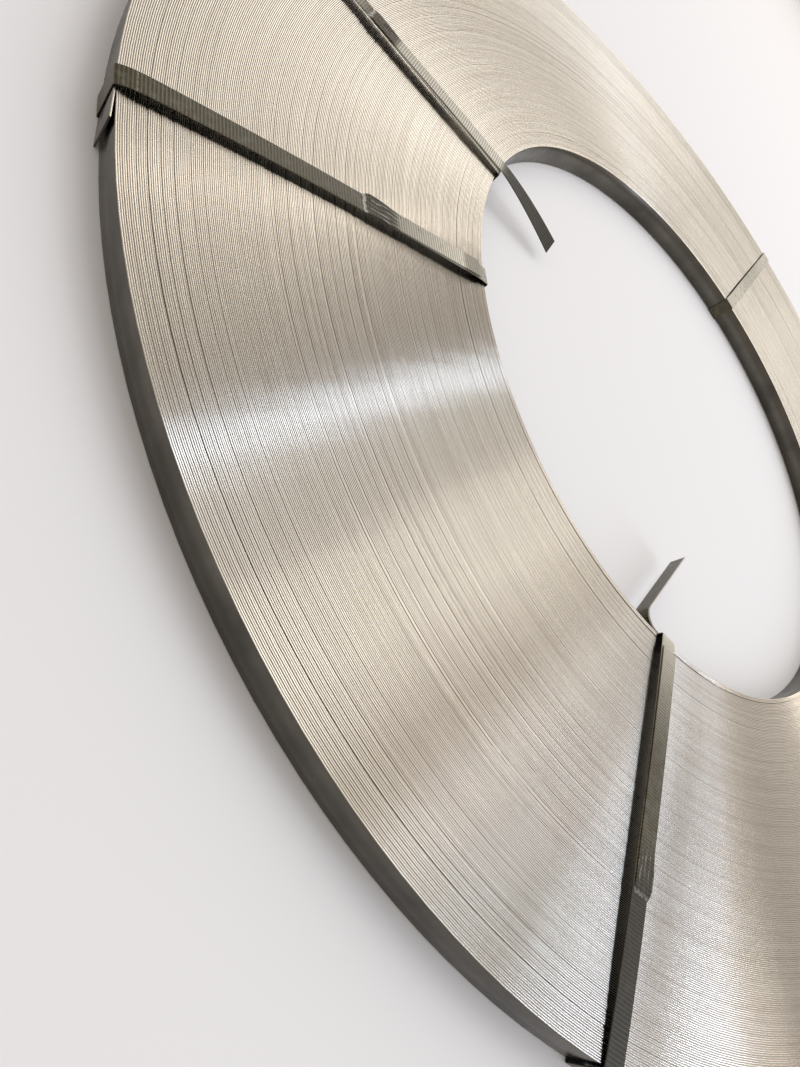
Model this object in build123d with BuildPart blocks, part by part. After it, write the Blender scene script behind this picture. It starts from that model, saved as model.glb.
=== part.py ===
"""Slit steel strip wound into a flat coil and tied by five plastic straps.

Millimetres, +Z up. The coil's axis is Z, and the floor that it lies on is Z = 0.
"""
import os
from math import asin, cos, degrees, exp, radians, sin, sqrt

from build123d import *

os.makedirs("parts", exist_ok=True)

# Strip and winding
strip_width = 20.0
strip_thickness = 1.0
turn_gap = 0.06
bore_radius = 254.0
turns = 231

# Bands of turns, counted from the bore: the last turn of each, and how far the band was wound up out of line
winding_bands = [(3, 0.1), (13, 0.0), (23, 0.25), (103, 0.0), (157, 0.15), (215, 0.3), (turns, 0.1)]

# Ends of the strip: the outer one springs off the wall, the inner one is a plain step in the bore
outer_end_angle = 241.2
outer_end_length = 26.0
outer_end_lift = 1.6
inner_end_angle = 35.0

# The innermost band has gone slack and left a slot that narrows to nothing at both ends
slot_start_angle = 222.0
slot_end_angle = 356.0
slot_opening = 0.9

# Plastic strap, its lap joint and its free tails
strap_width = 13.0
strap_thickness = 0.8
strap_clearance = 0.3
strap_bend = 1.0

# Its lap: the two layers are welded over one length and lie loose beside it
weld_length = 26.0
weld_sink = 0.15
tail_lift = 0.8

# Tail that sticks out over the bore, sags, twists and sways aside
long_tail_reach = 71.0
long_tail_droop = 6.7
long_tail_twist = 11.0
long_tail_sway = 3.0

# Tail that stands on edge in the bore: along the wall, round a bend, then across the bore
curl_along = 22.8
curl_inset = 3.2
curl_bend = 10.0
curl_leg = 92.0
curl_lean = 25.0

# Each strap: its direction from the axis, how far it passes beside the axis, how high its top run stands off
# the strip edges in the middle and at the bore's rim, and how quickly it rises from the bore's and the outer rim.
# Where its lap shows: how far from the rim the weld starts, how long the loose part on the rim's side of it is,
# and how far from the rim and by what angle the upper layer turns off the lower one.
strap_places = {
    "strap_by_strip_end": {
        "angle": 240.5, "beside": 21.2, "bow": 2.25, "rim": 0.1, "rises": (9.0, 5.0),
        "weld": 79.0, "loose": 70.0, "fan": (0.0, 0.0),
    },
    "strap_with_long_tail": {
        "angle": 210.25, "beside": 12.5, "bow": 2.7, "rim": 1.1, "rises": (50.0, 12.0),
        "weld": 111.5, "loose": 111.5, "fan": (124.5, 1.4),
    },
    "strap_with_curled_tail": {
        "angle": 297.7, "beside": -9.8, "bow": 3.2, "rim": 1.9, "rises": (40.0, 45.0),
        "weld": 140.5, "loose": 130.0, "fan": (10.5, 0.5),
    },
    "strap_opposite": {"angle": 100.55, "beside": -28.1, "bow": 2.1, "rim": 0.2, "rises": (10.0, 10.0)},
    "strap_out_of_view": {
        "angle": 23.0, "beside": 0.0, "bow": 2.1, "rim": 0.2, "rises": (10.0, 10.0),
        "weld": 86.0, "loose": 22.0, "fan": (0.0, 0.0),
    },
}
run_shares = (0, 0.02, 0.06, 0.14, 0.3, 0.5, 0.7, 0.86, 0.94, 0.98, 1)

# Sizes that follow from the ones above
pitch = strip_thickness + turn_gap
outer_radius = bore_radius + turns * pitch
coil_base = strap_thickness
coil_top = coil_base + strip_width + max(rise for _, rise in winding_bands)


def polar(radius, angle):
    """Point at a radius and an angle in degrees about the coil's axis."""
    return (radius * cos(radians(angle)), radius * sin(radians(angle)))


def spiral_turn(radius, angle):
    """One turn of the strip's face, in two arcs that together grow by one pitch."""
    points = [polar(radius + pitch * step / 4, angle + 90 * step) for step in range(5)]
    ThreePointArc(points[0], points[1], points[2])
    ThreePointArc(points[2], points[3], points[4])
    Line(points[4], points[0])


def strap_plane(place):
    """Plane that the strap's loop lies in: local X runs out from the axis, local Y is up."""
    out = Vector(*polar(1, place["angle"]), 0)
    side = out.cross(Vector(0, 0, 1))
    return Plane(origin=side * place["beside"], x_dir=out, z_dir=side)


def wall_reach(place):
    """Distances along the strap's plane to the faces of the loop that look at the bore wall and the outer wall."""
    edge = abs(place["beside"]) + strap_width / 2
    nearest = max(0.0, abs(place["beside"]) - strap_width / 2)
    bore_side = sqrt(bore_radius**2 - edge**2) - strap_clearance
    outer_side = sqrt((outer_radius + turn_gap) ** 2 - nearest**2) + strap_clearance
    return bore_side, outer_side


def run_height(place, reach):
    """Height of the underside of the top run at a distance along the strap's plane."""
    bore_side, outer_side = wall_reach(place)
    bore_rise, outer_rise = place["rises"]
    from_bore, from_outside = max(0.0, reach - bore_side), max(0.0, outer_side - reach)
    lift = place["bow"] - (place["bow"] - place["rim"]) * exp(-from_bore / bore_rise)
    return coil_top + strap_clearance + lift * (1 - exp(-from_outside / outer_rise))


def loop_face(place, grow):
    """Face inside the strap's loop, grown outward by one amount."""
    bore_side, outer_side = wall_reach(place)
    stations = [bore_side + (outer_side - bore_side) * share for share in run_shares]
    run = [(reach, run_height(place, reach) + grow) for reach in stations]
    run[0] = (bore_side - grow, run[0][1])
    run[-1] = (outer_side + grow, run[-1][1])
    floor = strap_thickness - grow
    with BuildLine() as outline:
        Spline(*run)
        Polyline(run[-1], (outer_side + grow, floor), (bore_side - grow, floor), run[0])
    make_face(outline.edges())


def strap_loop(place):
    """Closed loop of strap round the coil's section."""
    with BuildSketch(strap_plane(place)) as section:
        loop_face(place, strap_thickness)
        fillet(section.vertices().sort_by(Axis.Y)[-2:], strap_bend + strap_thickness)
        fillet(section.vertices().sort_by(Axis.Y)[:2], strap_thickness)
        with BuildSketch(mode=Mode.PRIVATE) as inside:
            loop_face(place, 0)
            fillet(inside.vertices().sort_by(Axis.Y)[-2:], strap_bend)
        add(inside.sketch, mode=Mode.SUBTRACT)
    extrude(section.sketch, amount=strap_width / 2, both=True)


def fanned_plane(place):
    """The strap's plane, turned about the upright line where its upper layer turns off the lower one."""
    flat = strap_plane(place)
    pivot, angle = place["fan"]
    out = flat.x_dir.rotate(Axis.Z, angle)
    origin = flat.origin + (flat.x_dir - out) * (wall_reach(place)[0] + pivot)
    return Plane(origin=origin, x_dir=out, z_dir=out.cross(Vector(0, 0, 1)))


def lap_course(place):
    """Underside of a lap's upper layer: lifted along its loose part, sunk where it is welded."""
    weld_start = wall_reach(place)[0] + place["weld"]
    stations = [
        (weld_start - place["loose"], tail_lift),
        (weld_start - place["loose"] / 2, tail_lift / 2),
        (weld_start, -weld_sink),
        (weld_start + weld_length, -weld_sink),
    ]
    return [(reach, run_height(place, reach) + strap_thickness + rise) for reach, rise in stations]


def lap_layer(place):
    """Upper layer of a strap's lap."""
    course = lap_course(place)
    above = [(reach, height + strap_thickness) for reach, height in course]
    with BuildSketch(fanned_plane(place)) as layer:
        with BuildLine():
            Spline(*course)
            Line(course[-1], above[-1])
            Spline(*above)
            Line(above[0], course[0])
        make_face()
    extrude(layer.sketch, amount=strap_width / 2, both=True)


# Coil: the bands are turned, and the first and last of them follow the strip's spiral
with BuildPart() as coil:
    band_starts = [0] + [last for last, _ in winding_bands[:-1]]
    with BuildSketch(Plane.XZ):
        for first, (last, rise) in list(zip(band_starts, winding_bands))[1:-1]:
            with Locations((bore_radius + first * pitch, coil_base + rise)):
                Rectangle((last - first) * pitch, strip_width, align=(Align.MIN, Align.MIN))
    revolve(axis=Axis.Z)
    first_band, last_band = winding_bands[0], winding_bands[-1]
    with BuildSketch(Plane.XY.offset(coil_base + first_band[1])):
        Circle(bore_radius + first_band[0] * pitch)
        with BuildLine():
            spiral_turn(bore_radius, inner_end_angle)
        make_face(mode=Mode.SUBTRACT)
    extrude(amount=strip_width)
    end_root_angle = outer_end_angle - degrees(outer_end_length / outer_radius)
    with BuildSketch(Plane.XY.offset(coil_base + last_band[1])):
        with BuildLine():
            spiral_turn(outer_radius - pitch, end_root_angle)
        make_face()
        Circle(bore_radius + band_starts[-1] * pitch, mode=Mode.SUBTRACT)
        with BuildLine():
            root = [polar(outer_radius - depth, end_root_angle) for depth in (0, strip_thickness)]
            tip = [polar(outer_radius + outer_end_lift - depth, outer_end_angle) for depth in (0, strip_thickness)]
            Polyline(root[0], tip[0], tip[1], root[1], close=True)
        make_face()
    extrude(amount=strip_width)
    slack_radius = bore_radius + first_band[0] * pitch
    with BuildSketch(Plane.XY):
        with BuildLine():
            middle_angle = (slot_start_angle + slot_end_angle) / 2
            slot_ends = [polar(slack_radius, slot_start_angle), polar(slack_radius, slot_end_angle)]
            ThreePointArc(slot_ends[0], polar(slack_radius, middle_angle), slot_ends[1])
            ThreePointArc(slot_ends[1], polar(slack_radius + slot_opening, middle_angle), slot_ends[0])
        make_face()
    extrude(amount=coil_top + strip_width, mode=Mode.SUBTRACT)
coil.part.label = "coil"
export_step(coil.part, "parts/coil.step")

# Straps with nothing more than their loop and lap
for name in ("strap_by_strip_end", "strap_opposite", "strap_out_of_view"):
    with BuildPart() as plain_strap:
        strap_loop(strap_places[name])
        if "weld" in strap_places[name]:
            lap_layer(strap_places[name])
    plain_strap.part.label = name
    export_step(plain_strap.part, f"parts/{name}.step")

# Strap whose upper layer runs on over the bore's rim, sags and twists
with BuildPart() as strap_with_long_tail:
    place = strap_places["strap_with_long_tail"]
    strap_loop(place)
    lap_layer(place)
    tail_plane = fanned_plane(place)
    tail_start, start_height = lap_course(place)[0]
    tip_height = coil_top - long_tail_droop
    for share in (0, 1 / 3, 2 / 3, 1):
        height = start_height + (tip_height - start_height) * share**1.5 + strap_thickness / 2
        centre = tail_plane.from_local_coords((tail_start - long_tail_reach * share, height, -long_tail_sway * share**2))
        with BuildSketch(Plane(origin=centre, x_dir=tail_plane.z_dir, z_dir=tail_plane.x_dir)):
            Rectangle(strap_width, strap_thickness, rotation=-long_tail_twist * share)
    loft()
strap_with_long_tail.part.label = "strap_with_long_tail"
export_step(strap_with_long_tail.part, "parts/strap_with_long_tail.step")

# Strap whose lower layer leaves the loop at the rim, stands on edge and curls into the bore
with BuildPart() as strap_with_curled_tail:
    place = strap_places["strap_with_curled_tail"]
    strap_loop(place)
    lap_layer(place)
    rim_angle = place["angle"] - degrees(asin(place["beside"] / bore_radius))
    wall_point = Vector(bore_radius - strap_clearance - strap_thickness / 2, 0)
    corner = wall_point + Vector(-curl_inset, curl_along)
    tip = corner + Vector(-curl_leg, 0).rotate(Axis.Z, curl_lean)
    tail_plane = Plane(origin=(0, 0, coil_base + strip_width - strap_width), x_dir=(*polar(1, rim_angle), 0), z_dir=(0, 0, -1))
    with BuildSketch(tail_plane):
        with BuildLine():
            FilletPolyline(wall_point, corner, tip, radius=curl_bend)
        trace(line_width=strap_thickness)
    extrude(amount=-strap_width)
strap_with_curled_tail.part.label = "strap_with_curled_tail"
export_step(strap_with_curled_tail.part, "parts/strap_with_curled_tail.step")
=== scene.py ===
import bpy, bmesh, math
from mathutils import Matrix, Vector, noise


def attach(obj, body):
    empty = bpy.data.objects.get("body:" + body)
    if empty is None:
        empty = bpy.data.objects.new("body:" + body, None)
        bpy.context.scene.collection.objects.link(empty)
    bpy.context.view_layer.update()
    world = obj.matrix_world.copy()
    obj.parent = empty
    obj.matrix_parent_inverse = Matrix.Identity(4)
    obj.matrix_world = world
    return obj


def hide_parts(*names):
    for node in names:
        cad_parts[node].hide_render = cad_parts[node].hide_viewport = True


# Flat coil of narrow slit steel strip, tied with five polyester straps.
# The coil is the strip itself, wound by Geometry Nodes; the straps are swept in mesh code.
# Meshes are in metres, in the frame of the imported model.

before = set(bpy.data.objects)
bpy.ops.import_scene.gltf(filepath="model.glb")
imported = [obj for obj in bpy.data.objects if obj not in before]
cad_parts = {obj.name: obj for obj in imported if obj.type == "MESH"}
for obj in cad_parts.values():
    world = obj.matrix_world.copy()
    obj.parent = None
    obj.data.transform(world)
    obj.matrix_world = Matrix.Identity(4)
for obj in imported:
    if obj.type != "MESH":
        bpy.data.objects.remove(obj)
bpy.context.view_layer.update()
scene = bpy.context.scene
scene.view_settings.view_transform = "Standard"
mm = 0.001
print("frame loaded")


def hexColor(code):
    # sRGB hex to the linear values that the shaders take
    values = [int(code[i:i + 2], 16) / 255 for i in (1, 3, 5)]
    return tuple(v / 12.92 if v <= 0.04045 else ((v + 0.055) / 1.055) ** 2.4 for v in values) + (1.0,)


def addNode(tree, kind, *inputs, **settings):
    # inputs: sockets to link or plain values, in order or in one dictionary by name or number
    # it gives back the node's outputs
    node = tree.nodes.new(kind)
    for name, value in settings.items():
        setattr(node, name, value)
    filled = inputs[0] if inputs and isinstance(inputs[0], dict) else dict(enumerate(inputs))
    for name, value in filled.items():
        if isinstance(value, bpy.types.NodeSocket):
            tree.links.new(value, node.inputs[name])
        else:
            node.inputs[name].default_value = value
    return node.outputs


def newMaterial(name):
    material = bpy.data.materials.new(name)
    material.use_nodes = True
    tree = material.node_tree
    tree.nodes.clear()
    return material, tree


def newPiece(name, mesh, slotName, *nodes):
    piece = bpy.data.objects.new(name, mesh)
    scene.collection.objects.link(piece)
    if nodes:
        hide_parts(*nodes)
    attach(piece, "root")


steelLooks = {
    "edgeColor": "#e3dfd3",
    "edgeDark": "#d2ccbf",
    "tornShade": 0.88,  # the torn part of the cut, against the sheared part
    "gapShade": 0.56,  # painted shade between the turns, on both corners of each edge
    "burrRoughness": 0.3,  # more than on the cut between the corners
    "edgeRoughness": (0.21, 0.27),
    "edgeAnisotropy": 1.0,
    "turnStreak": (140 * mm, 1.378 * mm),  # streaks of one turn or so: length round the coil, width
    "bandStreak": (350 * mm, 11 * mm),
    "drawnLine": (9 * mm, 0.22 * mm),  # fine lines that the slitting knives draw along the edge
    "drawnRelief": (0.5, 0.006 * mm),  # strength and depth
    "faceColor": "#6b675f",
    "faceDark": "#514e48",
    "faceRoughness": (0.24, 0.36),
    "oilPatch": 45 * mm,
    "rollMarks": (25, 25, 1400),  # marks in a metre, round the coil and up the strip
    "rollRelief": (0.25, 0.02 * mm),
}


def roundTheCoil(tree, place, streak, detail):
    # noise drawn out along the turns: long round the coil, short across it
    length, width = streak
    flat = addNode(tree, "ShaderNodeVectorMath", place, (1, 1, 0), operation="MULTIPLY")[0]
    radius = addNode(tree, "ShaderNodeVectorMath", flat, operation="LENGTH")["Value"]
    scaled = addNode(tree, "ShaderNodeVectorMath", {0: flat, "Scale": 1 / length}, operation="SCALE")[0]
    across = addNode(tree, "ShaderNodeMath", radius, 1 / width, operation="MULTIPLY")[0]
    lift = addNode(tree, "ShaderNodeCombineXYZ", {"Z": across})[0]
    vector = addNode(tree, "ShaderNodeVectorMath", scaled, lift, operation="ADD")[0]
    return addNode(tree, "ShaderNodeTexNoise", {
        "Vector": vector, "Scale": 1.0, "Detail": detail, "Roughness": 0.6})[0]


def slitEdgeMaterial():
    # Slit edge of cold-rolled steel: half sheared bright, half torn matt, drawn along the cut.
    # The marks run round the coil, so a lamp shows as a fan that points at the axis.
    looks = steelLooks
    light, dark = hexColor(looks["edgeColor"]), hexColor(looks["edgeDark"])
    material, tree = newMaterial("slit_steel_edge")
    place = addNode(tree, "ShaderNodeTexCoord")["Object"]
    flat = addNode(tree, "ShaderNodeVectorMath", place, (1, 1, 0), operation="MULTIPLY")[0]
    outward = addNode(tree, "ShaderNodeVectorMath", flat, operation="NORMALIZE")[0]
    perTurn = roundTheCoil(tree, place, looks["turnStreak"], 1.0)
    perBand = roundTheCoil(tree, place, looks["bandStreak"], 3.0)
    drawn = roundTheCoil(tree, place, looks["drawnLine"], 2.0)

    share = addNode(tree, "ShaderNodeMapRange", perTurn, 0.3, 0.7)[0]
    tone = addNode(tree, "ShaderNodeMix", {0: share, 6: dark, 7: light}, data_type="RGBA")[2]
    share = addNode(tree, "ShaderNodeMapRange", perBand, 0.35, 0.75, 0.0, 0.5)[0]
    tone = addNode(tree, "ShaderNodeMix", {0: share, 6: tone, 7: light}, data_type="RGBA")[2]
    share = addNode(tree, "ShaderNodeMapRange", drawn, 0.35, 0.7, 0.2, 0.0)[0]
    tone = addNode(tree, "ShaderNodeMix", {0: share, 6: tone, 7: dark},
                   data_type="RGBA", blend_type="MULTIPLY")[2]

    # across the strip's thickness: the torn half is darker, and both corners carry painted shade, where the
    # turns shade each other
    across = addNode(tree, "ShaderNodeAttribute", attribute_name="acrossStrip")["Fac"]
    torn = addNode(tree, "ShaderNodeMapRange", across, -0.2, 0.15, 1.0, looks["tornShade"])[0]
    corner = addNode(tree, "ShaderNodeMath", across, operation="ABSOLUTE")[0]
    corner = addNode(tree, "ShaderNodeMapRange", corner, 0.66, 0.9, 1.0, looks["gapShade"])[0]
    shade = addNode(tree, "ShaderNodeMath", torn, corner, operation="MULTIPLY")[0]
    tone = addNode(tree, "ShaderNodeVectorMath", {0: tone, "Scale": shade}, operation="SCALE")[0]

    # the burred corners are duller than the cut between them
    burr = addNode(tree, "ShaderNodeMapRange", corner, looks["gapShade"], 1.0, looks["burrRoughness"], 0.0)[0]
    rough = addNode(tree, "ShaderNodeMapRange", perBand, 0.3, 0.7, *looks["edgeRoughness"])[0]
    rough = addNode(tree, "ShaderNodeMath", rough, burr, operation="ADD")[0]
    strength, depth = looks["drawnRelief"]
    relief = addNode(tree, "ShaderNodeBump", {"Height": drawn, "Strength": strength, "Distance": depth})[0]
    shader = addNode(tree, "ShaderNodeBsdfPrincipled", {
        "Base Color": tone, "Metallic": 1.0, "Roughness": rough, "Normal": relief,
        "Anisotropic": looks["edgeAnisotropy"], "Tangent": outward})[0]
    addNode(tree, "ShaderNodeOutputMaterial", shader)
    return material


def stripFaceMaterial():
    # Cold-rolled face of the strip, lightly oiled: darker and smoother than its slit edges.
    looks = steelLooks
    light, dark = hexColor(looks["faceColor"]), hexColor(looks["faceDark"])
    material, tree = newMaterial("cold_rolled_strip_face")
    place = addNode(tree, "ShaderNodeTexCoord")["Object"]
    oil = addNode(tree, "ShaderNodeTexNoise", {
        "Vector": place, "Scale": 1 / looks["oilPatch"], "Detail": 4.0, "Roughness": 0.6})[0]
    rolled = addNode(tree, "ShaderNodeVectorMath", place, looks["rollMarks"], operation="MULTIPLY")[0]
    rolled = addNode(tree, "ShaderNodeTexNoise", {"Vector": rolled, "Scale": 1.0, "Detail": 3.0})[0]
    share = addNode(tree, "ShaderNodeMapRange", oil, 0.35, 0.7)[0]
    tone = addNode(tree, "ShaderNodeMix", {0: share, 6: light, 7: dark}, data_type="RGBA")[2]
    share = addNode(tree, "ShaderNodeMapRange", rolled, 0.3, 0.7, 0.0, 0.3)[0]
    tone = addNode(tree, "ShaderNodeMix", {0: share, 6: tone, 7: dark}, data_type="RGBA")[2]
    rough = addNode(tree, "ShaderNodeMapRange", oil, 0.3, 0.7, *looks["faceRoughness"])[0]
    strength, depth = looks["rollRelief"]
    relief = addNode(tree, "ShaderNodeBump", {"Height": rolled, "Strength": strength, "Distance": depth})[0]
    shader = addNode(tree, "ShaderNodeBsdfPrincipled", {
        "Base Color": tone, "Metallic": 1.0, "Roughness": rough, "Normal": relief})[0]
    addNode(tree, "ShaderNodeOutputMaterial", shader)
    return material


strapLooks = {
    "bodyColor": "#5d573a",
    # painted shade in the waffle's hollows
    "hollowShadeColor": "#363120",
    # painted shade on the underside, which darkens its reflection in the steel
    "underShade": 0.1,
    "dustColor": "#8b897d",
    "paleColor": "#f4f1df",  # painted light where it lies against bright steel, which shows through
    # painted light, with painted shade in the waffle's hollows
    "paleHollow": "#a9a48e",
    "edgeColor": "#f4f3ec",  # painted highlight on edges that stand free
    "wornColor": "#b7b5a8",  # where a weld, a crease or a torn end has whitened it, and the painted highlight on the weld's ridge tops
    "roughness": (0.24, 0.4),
    "undersideRoughness": 0.3,  # more than on top
    "ior": 1.57,
    "specular": 0.25,
    "transmission": 0.12,
    "ribSpacing": 2.0 * mm,  # crosswise ribs, measured in the photo
    "rowSpacing": 1.62 * mm,  # eight rows lengthwise
    "waffleRelief": (0.8, 0.14 * mm),  # strength and depth
    "fibre": 0.5 * mm,
    "fibreDrawn": 0.12,  # its width against its length
    "scuffSize": 6 * mm,
}


def strapMaterial():
    # Polyester strapping, extruded and embossed with a waffle: smoky olive, semi-gloss,
    # lets some light through.
    looks = strapLooks
    material, tree = newMaterial("polyester_strap")
    uv = addNode(tree, "ShaderNodeUVMap", uv_map="alongStrap")[0]
    split = addNode(tree, "ShaderNodeSeparateXYZ", uv)
    place = addNode(tree, "ShaderNodeTexCoord")["Object"]
    waves = []
    for distance, spacing in ((split[0], looks["ribSpacing"]), (split[1], looks["rowSpacing"])):
        wave = addNode(tree, "ShaderNodeMath", distance, math.pi / spacing, operation="MULTIPLY")[0]
        wave = addNode(tree, "ShaderNodeMath", wave, operation="SINE")[0]
        waves.append(addNode(tree, "ShaderNodeMath", wave, operation="ABSOLUTE")[0])
    ribs, rows = waves
    rows = addNode(tree, "ShaderNodeMath", rows, 0.5, 0.5, operation="MULTIPLY_ADD")[0]
    waffle = addNode(tree, "ShaderNodeMath", ribs, rows, operation="MULTIPLY")[0]
    # painted shade in the waffle's hollows, also within the painted light
    hollowShade = addNode(tree, "ShaderNodeMapRange", waffle, 0.25, 0.7)[0]
    scuffs = addNode(tree, "ShaderNodeTexNoise", {
        "Vector": place, "Scale": 1 / looks["scuffSize"], "Detail": 5.0, "Roughness": 0.65})[0]
    dusty = addNode(tree, "ShaderNodeMapRange", scuffs, 0.5, 0.8, 0.0, 0.5)[0]
    stretch = (looks["fibreDrawn"] / looks["fibre"], 1 / looks["fibre"], 1.0)
    drawn = addNode(tree, "ShaderNodeVectorMath", uv, stretch, operation="MULTIPLY")[0]
    fibres = addNode(tree, "ShaderNodeTexNoise", {
        "Vector": drawn, "Scale": 1.0, "Detail": 3.0, "Roughness": 0.6})[0]
    # real whitening of welds, creases and torn ends, with painted highlights on the weld's ridge tops
    worn = addNode(tree, "ShaderNodeAttribute", attribute_name="worn")["Fac"]
    whitenedAndLit = addNode(tree, "ShaderNodeMath", worn, fibres, operation="ADD")[0]
    whitenedAndLit = addNode(tree, "ShaderNodeMapRange", whitenedAndLit, 1.25, 1.55)[0]

    # above nought this is painted light, where bright steel shows through the strap; below nought it is
    # painted shade
    pale = addNode(tree, "ShaderNodeAttribute", attribute_name="pale")["Fac"]
    bright = addNode(tree, "ShaderNodeMix", {
        0: hollowShade, 6: hexColor(looks["paleColor"]), 7: hexColor(looks["paleHollow"])}, data_type="RGBA")[2]
    tone = hexColor(looks["bodyColor"])
    for share, color in ((hollowShade, hexColor(looks["hollowShadeColor"])), (dusty, hexColor(looks["dustColor"])),
                         (pale, bright), (whitenedAndLit, hexColor(looks["wornColor"]))):
        tone = addNode(tree, "ShaderNodeMix", {0: share, 6: tone, 7: color}, data_type="RGBA")[2]
    # painted shade where the value is below nought: the underside and some stretches of the top
    shade = addNode(tree, "ShaderNodeMapRange", pale, -1.0, 0.0, looks["underShade"], 1.0)[0]
    tone = addNode(tree, "ShaderNodeVectorMath", {0: tone, "Scale": shade}, operation="SCALE")[0]
    # painted highlight on the free edges, where the value is highest
    share = addNode(tree, "ShaderNodeMapRange", worn, 1.2, 1.6)[0]
    tone = addNode(tree, "ShaderNodeMix", {
        0: share, 6: tone, 7: hexColor(looks["edgeColor"])}, data_type="RGBA")[2]

    rough = addNode(tree, "ShaderNodeMapRange", scuffs, 0.35, 0.7, *looks["roughness"])[0]
    dull = addNode(tree, "ShaderNodeMapRange", pale, -1.0, 0.0, looks["undersideRoughness"], 0.0)[0]
    rough = addNode(tree, "ShaderNodeMath", rough, dull, operation="ADD")[0]
    sunk = addNode(tree, "ShaderNodeMath", waffle, -1.0, operation="MULTIPLY")[0]
    strength, depth = looks["waffleRelief"]
    relief = addNode(tree, "ShaderNodeBump", {"Height": sunk, "Strength": strength, "Distance": depth})[0]
    shader = addNode(tree, "ShaderNodeBsdfPrincipled", {
        "Base Color": tone, "Roughness": rough, "IOR": looks["ior"], "Specular IOR Level": looks["specular"],
        "Transmission Weight": looks["transmission"], "Normal": relief})[0]
    addNode(tree, "ShaderNodeOutputMaterial", shader)
    return material


slitEdge = slitEdgeMaterial()
stripFace = stripFaceMaterial()
strapPlastic = strapMaterial()
print("materials made")


coil = {
    "boreRadius": 254 * mm,
    "outerRadius": 498.86 * mm,
    "innerEndAngle": 35.0,
    "outerEndAngle": 241.2,
    "wholeTurns": 229,
    "stripThickness": 1.0 * mm,
    "stripWidth": 20.0 * mm,
    "turnGap": 0.06 * mm,
    "baseHeight": 0.8 * mm,
    "edgeRounding": 0.16 * mm,
    "sharpAngle": 50.0,
    "edgeSlope": 0.3,  # how steeply a face looks up or down that counts as slit edge
    "openCorners": 0.6,  # keeps the painted shade off the corners of the slack turns, which lie open
    "heightScatter": 0.1 * mm,
    "groupScatter": 0.12 * mm,
    "gapScatter": 0.02 * mm,
    "heightWander": (1.31, 3.0),  # noise along the turns: its speed and its shift
    "groupWander": (0.16, 40.0),
    "gapWander": (0.83, 90.0),
    "freeEndLength": 26 * mm,
    "freeEndLift": 1.6 * mm,
    "freeEndCurve": 1.4,
    "slackTurns": 3,
    "slackStart": 222.0,
    "slackEnd": 356.0,
    "slackOpening": 0.9 * mm,
    # each band: name, first turn, last turn, how far it was wound out of line, steps in one turn
    "bands": [
        ("coil_slack_turns", 0, 3, 0.1 * mm, 144),
        ("coil_bore_turns", 3, 23, 0.15 * mm, 144),
        ("coil_inner_turns", 23, 103, 0.0, 144),
        ("coil_middle_turns", 103, 157, 0.15 * mm, 160),
        ("coil_outer_turns", 157, 215, 0.25 * mm, 168),
        ("coil_last_turns", 215, None, 0.1 * mm, 176),
    ],
    # radii in mm, read at the near side, where one turn lies lower and shows as a dark ring; and how deep
    "lowTurns": [
        (263.5, 0.3), (268.0, 0.25), (278.8, 0.6), (332.0, 0.35), (363.0, 0.3), (368.7, 0.4),
        (376.5, 0.45), (383.2, 0.35), (390.8, 0.45), (398.5, 0.35), (408.0, 0.4), (417.0, 0.45),
        (419.2, 0.3), (426.5, 0.4), (456.0, 0.35), (462.0, 0.35), (470.7, 0.45), (477.0, 0.5),
        (479.5, 0.3), (484.0, 0.45), (489.0, 0.5), (491.2, 0.3), (493.4, 0.4), (495.5, 0.3),
    ],
    "lowTurnShare": 0.36,
    "lowTurnRise": (0.44, 0.56),  # where it rises again, in turns from its middle
    "nearSide": 270.0,
    "seed": 7,
}
coil["turns"] = coil["wholeTurns"] + ((coil["outerEndAngle"] - coil["innerEndAngle"]) % 360) / 360
coil["pitch"] = (coil["outerRadius"] - coil["boreRadius"] - coil["stripThickness"]) / coil["turns"]


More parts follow.
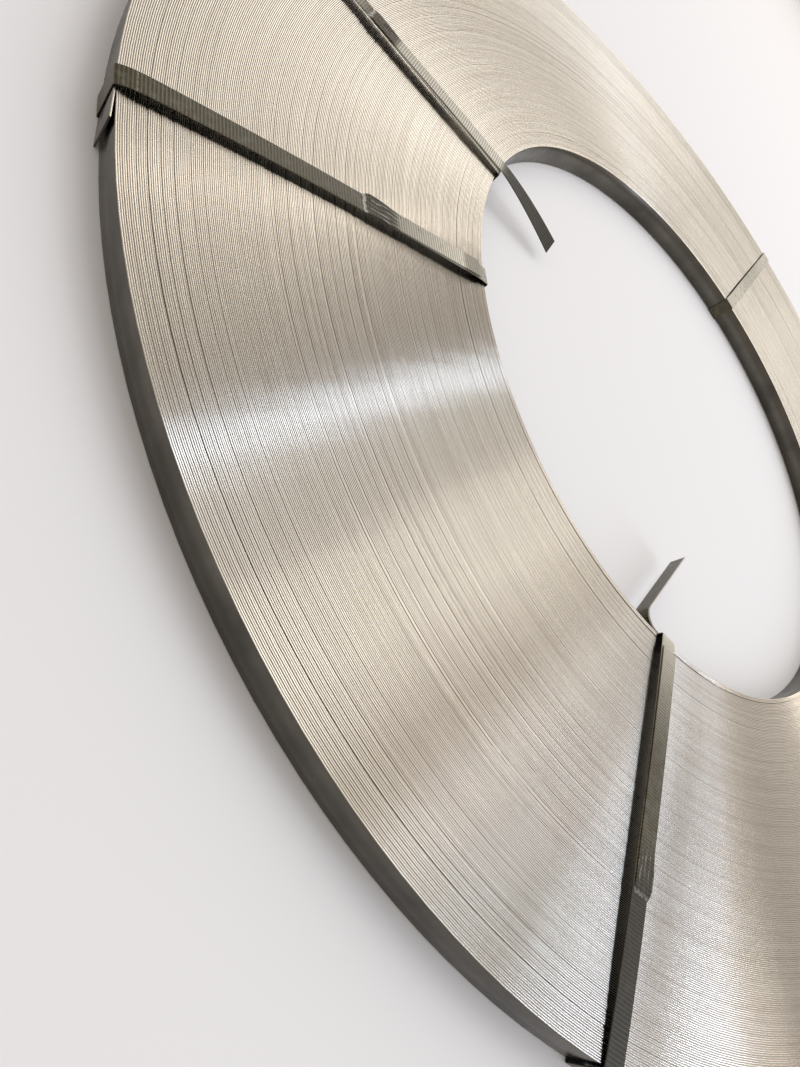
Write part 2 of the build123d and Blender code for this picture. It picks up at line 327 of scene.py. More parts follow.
def woundStripTree():
    # Geometry Nodes: a spiral of points, moved by the scatter of each turn,
    # with the strip's section swept along it
    tree = bpy.data.node_groups.new("wound_strip", "GeometryNodeTree")
    kinds = {"Steps Per Turn": "Int", "Edge Material": "Material", "Face Material": "Material"}
    for name in ("First Turn", "Turns", "Steps Per Turn", "Bore Radius", "Pitch", "Start Angle",
                 "Strip Thickness", "Strip Width", "Edge Rounding", "Corner Shade", "Base Height",
                 "Height Scatter", "Group Scatter", "Gap Scatter", "Seed", "Slack Turns", "Slack Opening",
                 "Slack Start", "Slack End", "Free End Turns", "Free End Lift", "Last Turn",
                 "Edge Material", "Face Material"):
        tree.interface.new_socket(name, in_out="INPUT", socket_type="NodeSocket" + kinds.get(name, "Float"))
    tree.interface.new_socket("Geometry", in_out="OUTPUT", socket_type="NodeSocketGeometry")
    put = addNode(tree, "NodeGroupInput")

    steps = addNode(tree, "ShaderNodeMath", put["Turns"], put["Steps Per Turn"], operation="MULTIPLY")[0]
    steps = addNode(tree, "ShaderNodeMath", steps, operation="ROUND")[0]
    count = addNode(tree, "ShaderNodeMath", steps, 1.0, operation="ADD")[0]
    line = addNode(tree, "GeometryNodeMeshLine", {"Count": count}, mode="OFFSET")[0]
    path = addNode(tree, "GeometryNodeMeshToCurve", line)[0]
    index = addNode(tree, "GeometryNodeInputIndex")[0]
    turn = addNode(tree, "ShaderNodeMath", index, steps, operation="DIVIDE")[0]
    turn = addNode(tree, "ShaderNodeMath", turn, put["Turns"], put["First Turn"],
                   operation="MULTIPLY_ADD")[0]
    angle = addNode(tree, "ShaderNodeMath", turn, 2 * math.pi, put["Start Angle"],
                    operation="MULTIPLY_ADD")[0]

    def wander(speed, shift, size):
        # smooth noise along the strip: neighbouring turns are one apart
        start = addNode(tree, "ShaderNodeMath", put["Seed"], shift, operation="ADD")[0]
        place = addNode(tree, "ShaderNodeMath", turn, speed, start, operation="MULTIPLY_ADD")[0]
        value = addNode(tree, "ShaderNodeTexNoise", {"W": place, "Scale": 1.0, "Detail": 1.0},
                        noise_dimensions="1D")[0]
        value = addNode(tree, "ShaderNodeMath", value, 0.5, operation="SUBTRACT")[0]
        return addNode(tree, "ShaderNodeMath", value, size, operation="MULTIPLY")[0]

    # middle of the strip: its height and its radius
    half = addNode(tree, "ShaderNodeMath", put["Strip Width"], 0.5, operation="MULTIPLY")[0]
    height = addNode(tree, "ShaderNodeMath", put["Base Height"], half, operation="ADD")[0]
    for key, name in (("heightWander", "Height Scatter"), ("groupWander", "Group Scatter")):
        twice = addNode(tree, "ShaderNodeMath", put[name], 2.0, operation="MULTIPLY")[0]
        height = addNode(tree, "ShaderNodeMath", height, wander(*coil[key], twice), operation="ADD")[0]
    radius = addNode(tree, "ShaderNodeMath", put["Pitch"], turn, put["Bore Radius"],
                     operation="MULTIPLY_ADD")[0]
    radius = addNode(tree, "ShaderNodeMath", put["Strip Thickness"], 0.5, radius,
                     operation="MULTIPLY_ADD")[0]
    stray = wander(*coil["gapWander"], put["Gap Scatter"])
    radius = addNode(tree, "ShaderNodeMath", radius, stray, operation="ADD")[0]

    # low turns: each sinks for one turn of the strip, and rises again on the far side
    nearShare = (coil["nearSide"] - coil["innerEndAngle"]) / 360
    for ringRadius, depth in coil["lowTurns"]:
        middle = ringRadius * mm - coil["boreRadius"] - coil["stripThickness"] / 2
        ringTurn = round(middle / coil["pitch"] - nearShare) + nearShare
        away = addNode(tree, "ShaderNodeMath", turn, ringTurn, operation="SUBTRACT")[0]
        away = addNode(tree, "ShaderNodeMath", away, operation="ABSOLUTE")[0]
        sink = addNode(tree, "ShaderNodeMapRange", away, *coil["lowTurnRise"],
                       depth * coil["lowTurnShare"] * mm, 0.0, interpolation_type="SMOOTHSTEP")[0]
        height = addNode(tree, "ShaderNodeMath", height, sink, operation="SUBTRACT")[0]

    # slack turns: they bulge into the bore over part of the circle
    around = addNode(tree, "ShaderNodeMath", angle, 2 * math.pi, operation="MODULO")[0]
    around = addNode(tree, "ShaderNodeMath", around, operation="DEGREES")[0]
    share = addNode(tree, "ShaderNodeMapRange", around, put["Slack Start"], put["Slack End"])[0]
    share = addNode(tree, "ShaderNodeMath", share, math.pi, operation="MULTIPLY")[0]
    bulge = addNode(tree, "ShaderNodeMath", share, operation="SINE")[0]
    bulge = addNode(tree, "ShaderNodeMath", bulge, 2.0, operation="POWER")[0]
    loose = addNode(tree, "ShaderNodeMath", turn, put["Slack Turns"], operation="LESS_THAN")[0]
    bulge = addNode(tree, "ShaderNodeMath", bulge, loose, operation="MULTIPLY")[0]
    bulge = addNode(tree, "ShaderNodeMath", bulge, put["Slack Opening"], operation="MULTIPLY")[0]
    radius = addNode(tree, "ShaderNodeMath", radius, bulge, operation="SUBTRACT")[0]

    # free end: it springs off the wall
    start = addNode(tree, "ShaderNodeMath", put["Last Turn"], put["Free End Turns"], operation="SUBTRACT")[0]
    spring = addNode(tree, "ShaderNodeMapRange", turn, start, put["Last Turn"])[0]
    spring = addNode(tree, "ShaderNodeMath", spring, coil["freeEndCurve"], operation="POWER")[0]
    radius = addNode(tree, "ShaderNodeMath", spring, put["Free End Lift"], radius,
                     operation="MULTIPLY_ADD")[0]

    # the path, and the strip's section swept along it
    cosine = addNode(tree, "ShaderNodeMath", angle, operation="COSINE")[0]
    sine = addNode(tree, "ShaderNodeMath", angle, operation="SINE")[0]
    x = addNode(tree, "ShaderNodeMath", radius, cosine, operation="MULTIPLY")[0]
    y = addNode(tree, "ShaderNodeMath", radius, sine, operation="MULTIPLY")[0]
    point = addNode(tree, "ShaderNodeCombineXYZ", x, y, height)[0]
    path = addNode(tree, "GeometryNodeSetPosition", {"Geometry": path, "Position": point})[0]
    path = addNode(tree, "GeometryNodeSetCurveNormal", {"Curve": path})[0]
    section = addNode(tree, "GeometryNodeCurvePrimitiveQuadrilateral", {
        "Width": put["Strip Thickness"], "Height": put["Strip Width"]})[0]
    section = addNode(tree, "GeometryNodeFilletCurve", {"Curve": section, "Radius": put["Edge Rounding"]})[0]

    # from -1 to 1 through the strip's thickness, for the sheared and the torn part of its edge and for the
    # painted shade at its corners
    place = addNode(tree, "GeometryNodeInputPosition")[0]
    across = addNode(tree, "ShaderNodeSeparateXYZ", place)[0]
    half = addNode(tree, "ShaderNodeMath", put["Strip Thickness"], 0.5, operation="MULTIPLY")[0]
    across = addNode(tree, "ShaderNodeMath", across, half, operation="DIVIDE")[0]
    # scaled down on the slack turns, so that their corners stay out of the painted shade
    across = addNode(tree, "ShaderNodeMath", across, put["Corner Shade"], operation="MULTIPLY")[0]
    section = addNode(tree, "GeometryNodeStoreNamedAttribute", {
        "Geometry": section, "Name": "acrossStrip", "Value": across}, data_type="FLOAT", domain="POINT")[0]
    strip = addNode(tree, "GeometryNodeCurveToMesh", {
        "Curve": path, "Profile Curve": section, "Fill Caps": True})[0]
    normal = addNode(tree, "GeometryNodeInputNormal")[0]
    slope = addNode(tree, "ShaderNodeSeparateXYZ", normal)[2]
    slope = addNode(tree, "ShaderNodeMath", slope, operation="ABSOLUTE")[0]
    onEdge = addNode(tree, "ShaderNodeMath", slope, coil["edgeSlope"], operation="GREATER_THAN")[0]
    strip = addNode(tree, "GeometryNodeRealizeInstances", strip)[0]
    strip = addNode(tree, "GeometryNodeSetMaterial", {"Geometry": strip, "Material": put["Face Material"]})[0]
    strip = addNode(tree, "GeometryNodeSetMaterial", {
        "Geometry": strip, "Selection": onEdge, "Material": put["Edge Material"]})[0]
    addNode(tree, "NodeGroupOutput", strip)
    return tree


def windBand(tree, name, first, last, rise, steps):
    host = bpy.data.objects.new(name + "_host", bpy.data.meshes.new(name + "_host"))
    scene.collection.objects.link(host)
    modifier = host.modifiers.new("wound", "NODES")
    modifier.node_group = tree
    last = coil["turns"] if last is None else last
    values = {
        "First Turn": float(first), "Turns": float(last - first), "Steps Per Turn": steps,
        "Bore Radius": coil["boreRadius"], "Pitch": coil["pitch"],
        "Start Angle": math.radians(coil["innerEndAngle"]),
        "Strip Thickness": coil["stripThickness"], "Strip Width": coil["stripWidth"],
        "Edge Rounding": coil["edgeRounding"], "Corner Shade": coil["openCorners"] if first == 0 else 1.0,
        "Base Height": coil["baseHeight"] + rise, "Height Scatter": coil["heightScatter"],
        "Group Scatter": coil["groupScatter"], "Gap Scatter": coil["gapScatter"],
        "Seed": float(coil["seed"]), "Slack Turns": float(coil["slackTurns"]),
        "Slack Opening": coil["slackOpening"], "Slack Start": coil["slackStart"],
        "Slack End": coil["slackEnd"],
        "Free End Turns": coil["freeEndLength"] / (2 * math.pi * coil["outerRadius"]),
        "Free End Lift": coil["freeEndLift"], "Last Turn": coil["turns"],
        "Edge Material": slitEdge, "Face Material": stripFace,
    }
    sockets = {item.name: item.identifier for item in tree.interface.items_tree if item.in_out == "INPUT"}
    for key, value in values.items():
        modifier[sockets[key]] = value
    evaluated = host.evaluated_get(bpy.context.evaluated_depsgraph_get())
    mesh = bpy.data.meshes.new_from_object(evaluated)
    mesh.name = name
    bpy.data.objects.remove(host)
    return mesh


stripTree = woundStripTree()
for name, first, last, rise, steps in coil["bands"]:
    mesh = windBand(stripTree, name, first, last, rise, steps)
    mesh.shade_smooth()
    mesh.set_sharp_from_angle(angle=math.radians(coil["sharpAngle"]))
    newPiece(name, mesh, "steel_strip", "coil")
    print(name, len(mesh.polygons), "faces,", [m.name for m in mesh.materials])
print("coil wound")


# Straps: the same courses as in the solids, in millimetres until the mesh is made
strap = {
    "width": 13.0,
    "thickness": 0.8,
    "clearance": 0.3,
    "bend": 1.0,
    "floorBend": 0.3,
    "cutEdge": 0.22,  # rounding along the edges
    "sharpAngle": 60.0,
    "weldLength": 26.0,
    "weldSink": 0.15,
    "tailLift": 0.8,
    "tailCurve": 1.2,
    "weldPress": 0.6,  # how far the weld's end is squeezed into the lower layer
    "endShare": 0.2,  # the last part of the weld, which is squeezed and torn
    "raggedEnd": 2.2,
    "tearWidth": 1.7,
    "weldShape": 0.4,  # the lower, the sooner a weld has its full depth
    "weldRidges": 4,
    "ridgeHeight": 0.5,
    # painted shade in the grooves between the weld's ridges
    "grooveShade": 0.55,
    "tornWear": 1.4,
    # painted highlight on the free edges, in the same attribute as the wear
    "freeEdgeHighlight": 2.0,
    "creaseWear": 1.3,
    "creaseWidth": 2.4,
    # unevenness: its mean, its size, its lengths along and across the strap, its own layer of the noise
    "sag": (0.0, 0.12, 23.0, 9.0, 3.1),
    "ridgeStray": (0.0, 0.09, 8.0, 4.0, 2.0),
    "ridgeBumps": (0.7, 0.6, 3.0, 1.0, 9.0),
    "ridgeWearAndHighlight": (1.15, 0.5, 5.0, 2.0, 6.0),
    "frayBumps": (0.8, 0.5, 2.3, 1.0, 1.0),
    "frayLift": 0.2,  # of how far it flares
    "stray": 0.25,  # sideways, over strayLength
    "strayLength": 55.0,
    "swingFall": 2.6,
    "swingLeast": -0.85,
    "longTail": {"reach": 71.0, "droop": 6.7, "droopCurve": 1.5, "twist": 11.0, "moreTwist": 19.0,
                 "sway": 3.0},
    "curl": {"along": 22.8, "inset": 3.2, "bend": 10.0, "leg": 92.0, "lean": 25.0},
    "faceHeight": 21.1,
    # bow and rim: how high the top run stands, out on the face and at the bore's rim
    # rises: the lengths over which it rises, from the bore and from the outside
    # weld: where it starts, out from the bore's wall; loose: how much of the upper layer isn't welded
    # fan: the point that the upper layer turns about, out from the bore's wall, and its degrees
    # fray: how far the weld's side flares, with a sign for the side; crease: the radius of one
    # swing: how far it strays sideways, at its middle, with that middle's radius and half length
    # the last lists: painted light above nought and painted shade below it, for the top and for the
    # underside, each from a list of reaches
    "places": {
        "strap_by_strip_end": {
            "angle": 240.5, "beside": 21.2, "bow": 2.25, "rim": 0.1, "rises": (9.0, 5.0),
            "weld": 79.0, "loose": 70.0, "fan": (0.0, 0.0), "fray": 2.6,
            "swing": (1.65, 388.0, 109.0), "crease": 490.0,
            "pale": [(254, 0.6), (262, 0.35), (275, 0.4), (277, 1.0), (300, 0.75), (334, 0.35), (338, 0.0)],
        },
        "strap_with_long_tail": {
            "angle": 210.25, "beside": 12.5, "bow": 2.7, "rim": 1.1, "rises": (50.0, 12.0),
            "weld": 111.5, "loose": 111.5, "fan": (124.5, 1.4), "fray": 1.2,
            "pale": [(190, -0.65), (249, -0.65), (257, 0.9), (362, 0.75), (368, 0.0), (392, 0.0),
                     (400, 0.3), (499, 0.1)],
            "under": [(254, 0.4), (304, 0.4), (312, -1.0)],
        },
        "strap_with_curled_tail": {
            "angle": 297.7, "beside": -9.8, "bow": 3.2, "rim": 1.9, "rises": (40.0, 45.0),
            "weld": 140.5, "loose": 130.0, "fan": (10.5, 0.5), "fray": -1.2, "tornWear": 1.15,
            "pale": [(254, 1.0), (268, 0.7), (300, 0.3), (340, 0.0), (405, 0.0), (418, -0.65), (499, -0.65)],
        },
        "strap_opposite": {
            "angle": 100.55, "beside": -28.1, "bow": 2.1, "rim": 0.2, "rises": (10.0, 10.0),
            "pale": [(250, 1.0), (300, 1.0), (350, 0.75), (400, 0.75), (450, 1.0), (499, 0.9)],
        },
        "strap_out_of_view": {
            "angle": 23.0, "beside": 0.0, "bow": 2.1, "rim": 0.2, "rises": (10.0, 10.0),
            "weld": 86.0, "loose": 22.0, "fan": (0.0, 0.0), "fray": 1.0,
        },
    },
}


def strapAxes(place, turned=0.0, pivot=0.0):
    # outward and sideways directions of a strap, and where its line starts beside the axis
    angle = math.radians(place["angle"])
    out, side = Vector((math.cos(angle), math.sin(angle), 0)), Vector((math.sin(angle), -math.cos(angle), 0))
    start = side * place["beside"]
    if turned:
        newOut = Matrix.Rotation(math.radians(turned), 3, "Z") @ out
        start = start + (out - newOut) * (wallReach(place)[0] + pivot)
        out, side = newOut, newOut.cross(Vector((0, 0, 1)))
    return start, out, side


def wallReach(place):
    edge = abs(place["beside"]) + strap["width"] / 2
    nearest = max(0.0, abs(place["beside"]) - strap["width"] / 2)
    boreRadius, outerRadius = coil["boreRadius"] / mm, (coil["outerRadius"] + coil["turnGap"]) / mm
    boreSide = math.sqrt(boreRadius ** 2 - edge ** 2) - strap["clearance"]
    outerSide = math.sqrt(outerRadius ** 2 - nearest ** 2) + strap["clearance"]
    return boreSide, outerSide


def runHeight(place, reach):
    # underside of the top run
    boreSide, outerSide = wallReach(place)
    fromBore, fromOutside = max(0.0, reach - boreSide), max(0.0, outerSide - reach)
    lift = place["bow"] - (place["bow"] - place["rim"]) * math.exp(-fromBore / place["rises"][0])
    return strap["faceHeight"] + strap["clearance"] + lift * (1 - math.exp(-fromOutside / place["rises"][1]))


def swing(place, reach):
    if "swing" not in place:
        return 0.0
    most, middle, half = place["swing"]
    return max(strap["swingLeast"], most - strap["swingFall"] * ((reach - middle) / half) ** 2)


def shadeAt(steps, reach):
    if reach <= steps[0][0]:
        return steps[0][1]
    for (fromReach, low), (toReach, high) in zip(steps, steps[1:]):
        if reach <= toReach:
            return low + (high - low) * (reach - fromReach) / (toReach - fromReach)
    return steps[-1][1]


def topShade(place, reach):
    return shadeAt(place.get("pale", [(0, 0.0)]), reach)


def underShade(place, reach):
    return shadeAt(place.get("under", [(0, -1.0)]), reach)


def station(centre, across, normal, **extra):
    axes = {"across": Vector(across).normalized(), "normal": Vector(normal).normalized()}
    return {"centre": Vector(centre), **axes, **extra}


def uneven(kind, along, across):
    mean, size, alongLength, acrossLength, layer = strap[kind]
    return mean + size * noise.noise(Vector((along / alongLength, across / acrossLength, layer)))


def loopStations(place):
    # once round the coil's section: floor, outer wall, top, bore wall
    boreSide, outerSide = wallReach(place)
    half, bend, tight = strap["thickness"] / 2, strap["bend"], strap["floorBend"]
    room, floorSteps, wallSteps, topSteps = 2.0, 39, 5, 110
    course = []

    def corner(u, z, radius, fromAngle, steps):
        for k in range(steps + 1):
            a = math.radians(fromAngle + 90 * k / steps)
            course.append((u + radius * math.cos(a), z + radius * math.sin(a)))

    topOuter, topBore = runHeight(place, outerSide - bend), runHeight(place, boreSide + bend)
    for k in range(floorSteps + 1):
        course.append((boreSide + room + (outerSide - boreSide - 2 * room) * k / floorSteps, half))
    corner(outerSide - tight, 2 * half + tight, half + tight, -90, 5)
    for k in range(1, wallSteps):
        course.append((outerSide + half, room + (topOuter - bend - room) * k / wallSteps))
    corner(outerSide - bend, topOuter - bend, half + bend, 0, 7)
    for k in range(1, topSteps):
        reach = outerSide - bend + (boreSide - outerSide + 2 * bend) * k / topSteps
        course.append((reach, runHeight(place, reach) + half))
    corner(boreSide + bend, topBore - bend, half + bend, 90, 7)
    for k in range(1, wallSteps):
        course.append((boreSide - half, topBore - bend + (room - topBore + bend) * k / wallSteps))
    corner(boreSide + tight, 2 * half + tight, half + tight, 180, 5)

    start, out, side = strapAxes(place)
    stations, along, count = [], 0.0, len(course)
    for k, (u, z) in enumerate(course):
        before, after = course[k - 1], course[(k + 1) % count]
        heading = Vector((after[0] - before[0], after[1] - before[1])).normalized()
        wave = noise.noise(Vector((u / strap["strayLength"], place["angle"], 0)))
        stray = swing(place, u) + strap["stray"] * wave
        centre = start + out * u + side * stray + Vector((0, 0, z))
        shades = {"pale": 0.0, "under": -1.0, "worn": 0.0}
        if z > strap["faceHeight"] - 1 and boreSide + 0.5 < u < outerSide:
            fromCrease = abs(u - place["crease"]) if "crease" in place else strap["creaseWidth"]
            worn = strap["creaseWear"] * max(0.0, 1 - fromCrease / strap["creaseWidth"])
            shades = {"pale": topShade(place, u), "under": underShade(place, u), "worn": worn}
        normal = out * heading[1] - Vector((0, 0, heading[0]))
        stations.append(station(centre, side, normal, along=along, **shades))
        along += (Vector(after) - Vector((u, z))).length
    return stations


def lapStations(place):
    # the upper layer, from its loose end to the far end of its weld
    start, out, side = strapAxes(place, place["fan"][1], place["fan"][0])
    weldStart = wallReach(place)[0] + place["weld"]
    thickness, steps = strap["thickness"], 60
    stations = []
    for k in range(steps + 1):
        x = -place["loose"] + (place["loose"] + strap["weldLength"]) * k / steps
        slack = max(0.0, -x / place["loose"]) ** strap["tailCurve"]
        rise = -strap["weldSink"] + (strap["tailLift"] + strap["weldSink"]) * slack
        reach = weldStart + x
        share = min(1.0, max(0.0, x / strap["weldLength"]))
        weld = max(0.0, math.sin(math.pi * share)) ** strap["weldShape"] if 0 < share < 1 else 0.0
        end = max(0.0, 1 - (1 - share) / strap["endShare"])
        pressed = strap["weldPress"] * end ** 2 * (3 - 2 * end)
        z = runHeight(place, reach) + 1.5 * thickness + rise - pressed
        centre = start + out * reach + side * swing(place, reach) + Vector((0, 0, z))
        flare = weld * min(1.0, share / (1 - strap["endShare"]))
        stations.append(station(
            centre, side, (0, 0, 1), along=reach, weld=weld, end=end, fray=place["fray"] * flare,
            ragged=out * strap["raggedEnd"] * end, worn=place.get("tornWear", strap["tornWear"]) * end,
            pale=topShade(place, reach), under=underShade(place, reach)))
    return stations


def longTailStations(place):
    # over the bore's rim: it sags, twists and strays sideways, and its tip comes first
    start, out, side = strapAxes(place, place["fan"][1], place["fan"][0])
    tail, thickness, steps = strap["longTail"], strap["thickness"], 30
    upright = Vector((0, 0, 1))
    tailStart = wallReach(place)[0] + place["weld"] - place["loose"]
    startHeight = runHeight(place, tailStart) + thickness + strap["tailLift"]
    tipHeight = strap["faceHeight"] - tail["droop"]
    stations = []
    for k in range(steps, 0, -1):
        share = k / steps
        reach = tailStart - tail["reach"] * share
        z = startHeight + (tipHeight - startHeight) * share ** tail["droopCurve"] + thickness / 2
        centre = start + out * reach - side * (tail["sway"] * share ** 2) + upright * z
        twist = math.radians(tail["twist"] * share)
        farEdge = centre + (side * math.cos(twist) + upright * math.sin(twist)) * strap["width"] / 2
        # it turns on about its far edge, more than the solid does
        twist += math.radians(tail["moreTwist"] * share)
        across = side * math.cos(twist) + upright * math.sin(twist)
        normal = upright * math.cos(twist) - side * math.sin(twist)
        centre = farEdge - across * strap["width"] / 2
        stations.append(station(
            centre, across, normal, along=reach, freeEdge=1.0, pale=topShade(place, reach)))
    return stations


def curlStations(place):
    # the lower layer's end stands on edge: along the bore wall, round a bend and out into the bore
    curl = strap["curl"]
    wallSteps, bendSteps, legSteps = 6, 12, 24
    boreRadius = coil["boreRadius"] / mm
    rimAngle = math.radians(place["angle"]) - math.asin(place["beside"] / boreRadius)
    out = Vector((math.cos(rimAngle), math.sin(rimAngle), 0))
    turn = Vector((math.sin(rimAngle), -math.cos(rimAngle), 0))
    wallPoint = Vector((boreRadius - strap["clearance"] - strap["thickness"] / 2, 0))
    corner = wallPoint + Vector((-curl["inset"], curl["along"]))
    lean = math.radians(curl["lean"])
    tip = corner + Vector((-math.cos(lean), -math.sin(lean))) * curl["leg"]
    into, away = (corner - wallPoint).normalized(), (tip - corner).normalized()
    half = math.acos(max(-1, min(1, into.dot(away)))) / 2
    bendStart = corner - into * curl["bend"] * math.tan(half)
    centre = bendStart + Vector((-into[1], into[0])) * curl["bend"]
    arm = bendStart - centre
    trace = [wallPoint + (bendStart - wallPoint) * k / wallSteps for k in range(wallSteps)]
    for k in range(bendSteps + 1):
        trace.append(centre + Matrix.Rotation(2 * half * k / bendSteps, 2) @ arm)
    bendEnd = trace[-1]
    trace += [bendEnd + (tip - bendEnd) * k / legSteps for k in range(1, legSteps + 1)]

    stations, along = [], 0.0
    middle = strap["thickness"] + coil["stripWidth"] / mm - strap["width"] / 2
    for k, point in enumerate(trace):
        before, after = trace[max(0, k - 1)], trace[min(len(trace) - 1, k + 1)]
        heading = (after - before).normalized()
        spot = out * point[0] + turn * point[1] + Vector((0, 0, middle))
        normal = out * -heading[1] + turn * heading[0]
        stations.append(station(spot, (0, 0, 1), normal, along=along, freeEdge=1.0))
        along += (after - point).length
    return stations


def sectionPoints():
    # section of the strap, once round: how far sideways and upwards each point lies
    half, top, rounding = strap["width"] / 2, strap["thickness"] / 2, strap["cutEdge"]
    flat = half - rounding
    near = rounding * 0.3
    topSteps, underSteps = 20, 6
    points = [(-flat + 2 * flat * k / topSteps, top) for k in range(topSteps + 1)]
    points += [(half - near, top - near), (half, top - rounding)]
    points += [(half, rounding - top), (half - near, near - top)]
    points += [(flat - 2 * flat * k / underSteps, -top) for k in range(underSteps + 1)]
    points += [(near - half, near - top), (-half, rounding - top)]
    points += [(-half, top - rounding), (near - half, top - near)]
    return points


def sweepStrap(bm, uvLayer, stations, closed):
    section = sectionPoints()
    half = strap["width"] / 2
    wornLayer, paleLayer = bm.verts.layers.float["worn"], bm.verts.layers.float["pale"]
    rings, count = [], len(section)
    for s in stations:
        along, weld, fray = s["along"], s.get("weld", 0.0), s.get("fray", 0.0)
        free = s.get("freeEdge", 0.0)
        ring = []
        for x, y in section:
            lift, worn, pale = uneven("sag", along, x) * weld, s.get("worn", 0.0), s.get("pale", 0.0)
            if weld and y > 0:
                # the welding tool's ridges, whitened and with a painted highlight on top, with painted shade
                # in the grooves between them
                position = x / strap["width"] + 0.5 + uneven("ridgeStray", along, x)
                ridge = max(0.0, math.sin(position * 2 * math.pi * strap["weldRidges"]))
                lift += strap["ridgeHeight"] * weld * ridge * uneven("ridgeBumps", along, x)
                worn = max(worn, uneven("ridgeWearAndHighlight", along, x) * weld * ridge ** 2)
                groove = weld * (1 - ridge)
                pale = pale * (1 - groove) - strap["grooveShade"] * groove * (1 - weld * s["end"])
            wider = 0.0
            if fray and x * fray > 0:
                share = (abs(x) / half) ** 3
                wider = fray * share * uneven("frayBumps", along, 5.0)
                lift += abs(fray) * strap["frayLift"] * share
            point = s["centre"] + s["across"] * (x + wider) + s["normal"] * (y + lift)
            if "ragged" in s:
                point += s["ragged"] * noise.noise(Vector((x / strap["tearWidth"], 4.0, along / 40)))
            vertex = bm.verts.new(point * mm)
            # free edges get a painted highlight; elsewhere this is wear, with painted highlights on the
            # weld's ridge tops
            vertex[wornLayer] = strap["freeEdgeHighlight"] if free and x > half - 2 * strap["cutEdge"] else worn
            # the underside takes its painted shade from its own list, except on the free tails
            vertex[paleLayer] = pale if y > 0 or free else s.get("under", -1.0)
            ring.append(vertex)
        rings.append(ring)

    pairs = list(zip(range(len(rings)), range(1, len(rings))))
    if closed:
        pairs.append((len(rings) - 1, 0))
    length = stations[-1]["along"]
    for a, b in pairs:
        for k in range(count):
            n = (k + 1) % count
            face = bm.faces.new((rings[a][k], rings[a][n], rings[b][n], rings[b][k]))
            face.smooth = True
            uA, uB = stations[a]["along"], stations[b]["along"] if b else length + 1
            for loop, u, j in zip(face.loops, (uA, uA, uB, uB), (k, n, n, k)):
                loop[uvLayer].uv = (u * mm, section[j][0] * mm)
    if not closed:
        # the cut ends are plain: each takes a single point of the pattern
        for ring in (rings[0], rings[-1]):
            face = bm.faces.new(ring)
            for loop in face.loops:
                loop[uvLayer].uv = (0.0, 7.0 * mm)


for name, place in strap["places"].items():
    bm = bmesh.new()
    bm.verts.layers.float.new("worn")
    bm.verts.layers.float.new("pale")
    uvLayer = bm.loops.layers.uv.new("alongStrap")
    sweepStrap(bm, uvLayer, loopStations(place), True)
    if "weld" in place:
        stations = lapStations(place)
        if name == "strap_with_long_tail":
            stations = longTailStations(place) + stations
        sweepStrap(bm, uvLayer, stations, False)
    if name == "strap_with_curled_tail":
        sweepStrap(bm, uvLayer, curlStations(place), False)
    bmesh.ops.recalc_face_normals(bm, faces=bm.faces)
    mesh = bpy.data.meshes.new(name + "_dressed")
    bm.to_mesh(mesh)
    bm.free()
    mesh.materials.append(strapPlastic)
    mesh.set_sharp_from_angle(angle=math.radians(strap["sharpAngle"]))
    newPiece(name + "_dressed", mesh, "strap_plastic", name)
    print(name, len(mesh.polygons), "faces")
print("straps swept")


studio = {
    "floorColor": "#eff0ef",
    "floorSize": 30.0,
    "floorRoughness": 0.9,
    "floorSpecular": 0.2,
    "worldColor": "#fff5ee",
    "worldStrength": 0.6,
    "boxDistance": 3.0,
    "fanRadius": 376 * mm,
    "faceHeight": 20.8 * mm,
    # each soft box: the angle of the face where it shows as a fan, its height and spans in degrees,
    # its brightness, its colour
    "boxes": [
        ("left_edge_box", 215.0, 24.0, 7.0, 38.0, 0.55, "#ffffff"),
        ("left_box", 217.0, 24.0, 14.0, 38.0, 0.45, "#ffffff"),
        ("wide_left_box", 231.0, 26.0, 13.0, 38.0, 0.82, "#fff4ec"),
        ("slim_left_box", 238.0, 40.0, 3.0, 44.0, 1.5, "#fff4ec"),
        ("slim_box", 256.8, 56.0, 3.8, 46.0, 3.6, "#d4e3ff"),
        ("low_box", 262.0, 18.0, 30.0, 18.0, 0.25, "#fff6ee"),
        ("low_right_box", 283.0, 24.0, 18.0, 16.0, 0.85, "#fff6f2"),
        ("top_box", 268.0, 58.0, 28.0, 44.0, 0.98, "#f6f6fb"),
        ("middle_box", 270.5, 40.0, 9.0, 44.0, 0.55, "#ffffff"),
        ("top_right_box", 277.0, 58.0, 28.0, 24.0, 1.0, "#fff6ee"),
        ("right_box", 291.0, 42.0, 13.0, 24.0, 0.85, "#eef2ff"),
    ],
    # boxes beside the coil, by the compass: direction and height in degrees, then as above
    "sideBoxes": [
        ("low_side_box", 15.0, 20.5, 4.0, 18.0, 16.8, "#d4e2ff"),
        ("edge_side_box", 26.0, 21.5, 5.0, 12.0, 4.6, "#fff2e8"),
        ("last_side_box", 57.0, 12.0, 5.0, 9.0, 5.0, "#fff2e8"),
        ("side_box", 22.0, 43.0, 9.0, 12.0, 6.5, "#d4e2ff"),
        ("slim_side_box", 10.0, 38.0, 4.0, 12.0, 6.5, "#d4e2ff"),
        ("high_side_box", 5.0, 60.0, 4.0, 16.0, 6.5, "#d4e2ff"),
        ("near_side_box", 20.0, 24.0, 4.0, 10.0, 4.0, "#d4e2ff"),
        ("far_side_box", 50.0, 43.0, 4.0, 12.0, 1.5, "#d4e2ff"),
        ("broad_side_box", 27.0, 31.0, 6.0, 10.0, 3.0, "#e8eeff"),
    ],
    "sideSpot": 300.0,
}
floorMaterial, tree = newMaterial("studio_floor")
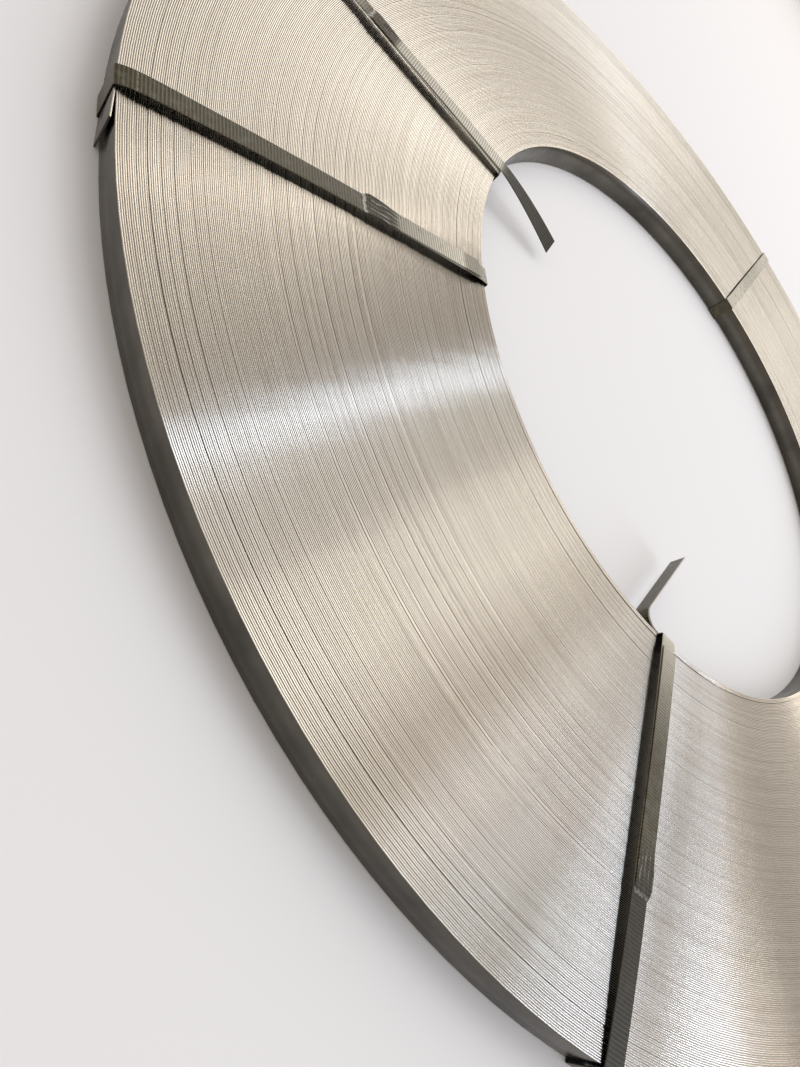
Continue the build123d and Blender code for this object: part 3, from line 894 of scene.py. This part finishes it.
shader = addNode(tree, "ShaderNodeBsdfPrincipled", {
    "Base Color": hexColor(studio["floorColor"]), "Roughness": studio["floorRoughness"],
    "Specular IOR Level": studio["floorSpecular"]})[0]
addNode(tree, "ShaderNodeOutputMaterial", shader)
mesh = bpy.data.meshes.new("floor")
half = studio["floorSize"] / 2
mesh.from_pydata([(-half, -half, 0), (half, -half, 0), (half, half, 0), (-half, half, 0)], [], [(0, 1, 2, 3)])
mesh.materials.append(floorMaterial)
floor = bpy.data.objects.new("floor", mesh)
scene.collection.objects.link(floor)

world = bpy.data.worlds.new("studio_world")
scene.world = world
world.use_nodes = True
tree = world.node_tree
tree.nodes.clear()
background = addNode(tree, "ShaderNodeBackground", {
    "Color": hexColor(studio["worldColor"]), "Strength": studio["worldStrength"]})[0]
addNode(tree, "ShaderNodeOutputWorld", background)


# the photo's viewpoint: where it stands, its right and its up
cameraView = {
    "place": (-0.0163728, -0.6565265, 0.26877),
    "right": (0.46236, 0.61224, 0.64138),
    "up": (-0.88668, 0.31925, 0.33445),
    "lens": 24.95,
    "sensorHeight": 36.0,
    "clipStart": 0.01,
}


def faceSpot(degrees):
    angle = math.radians(degrees)
    flat = Vector((math.cos(angle), math.sin(angle), 0)) * studio["fanRadius"]
    return flat + Vector((0, 0, studio["faceHeight"]))


def skyWay(azimuth, elevation):
    flat = math.cos(elevation)
    return Vector((flat * math.cos(azimuth), flat * math.sin(azimuth), math.sin(elevation)))


def fanBox(name, fanAngle, elevation, *rest):
    # a soft box that lies on the face as a fan at this angle, seen from the camera's place
    angle, rise = math.radians(fanAngle), math.radians(elevation)
    spot = faceSpot(fanAngle)
    along = Vector((-math.sin(angle), math.cos(angle), 0))
    toCamera = (Vector(cameraView["place"]) - spot).normalized()
    off = math.acos(-toCamera.dot(along) / math.cos(rise))
    ways = [skyWay(angle + math.pi / 2 + turn, rise) for turn in (off, -off)]
    direction = max(ways, key=lambda way: way[1])
    softBox(name, spot, direction, along.cross(direction).normalized(), *rest)


def sideBox(name, azimuth, elevation, *rest):
    direction = skyWay(math.radians(azimuth), math.radians(elevation))
    level = Vector((0, 0, 1)).cross(direction).normalized()
    softBox(name, faceSpot(studio["sideSpot"]), direction, direction.cross(level), *rest)


def softBox(name, spot, direction, tallAxis, wide, tall, brightness, colorCode):
    far = studio["boxDistance"]
    light = bpy.data.lights.new(name, "AREA")
    light.shape = "RECTANGLE"
    light.size = 2 * far * math.tan(math.radians(wide) / 2)
    light.size_y = 2 * far * math.tan(math.radians(tall) / 2)
    light.energy = brightness * math.pi * light.size * light.size_y
    light.color = hexColor(colorCode)[:3]
    lamp = bpy.data.objects.new(name, light)
    scene.collection.objects.link(lamp)
    axes = Matrix((tallAxis.cross(direction), tallAxis, direction)).transposed()
    lamp.matrix_world = Matrix.Translation(spot + direction * far) @ axes.to_4x4()


for box in studio["boxes"]:
    fanBox(*box)
for box in studio["sideBoxes"]:
    sideBox(*box)

camera = bpy.data.cameras.new("camera")
camera.lens = cameraView["lens"]
camera.sensor_fit = "VERTICAL"
camera.sensor_height = cameraView["sensorHeight"]
camera.clip_start = cameraView["clipStart"]
cameraObject = bpy.data.objects.new("camera", camera)
scene.collection.objects.link(cameraObject)
right, up = Vector(cameraView["right"]).normalized(), Vector(cameraView["up"]).normalized()
back = right.cross(up).normalized()
axes = Matrix((right, up, back)).transposed()
cameraObject.matrix_world = Matrix.Translation(cameraView["place"]) @ axes.to_4x4()
scene.camera = cameraObject
print("stage set")
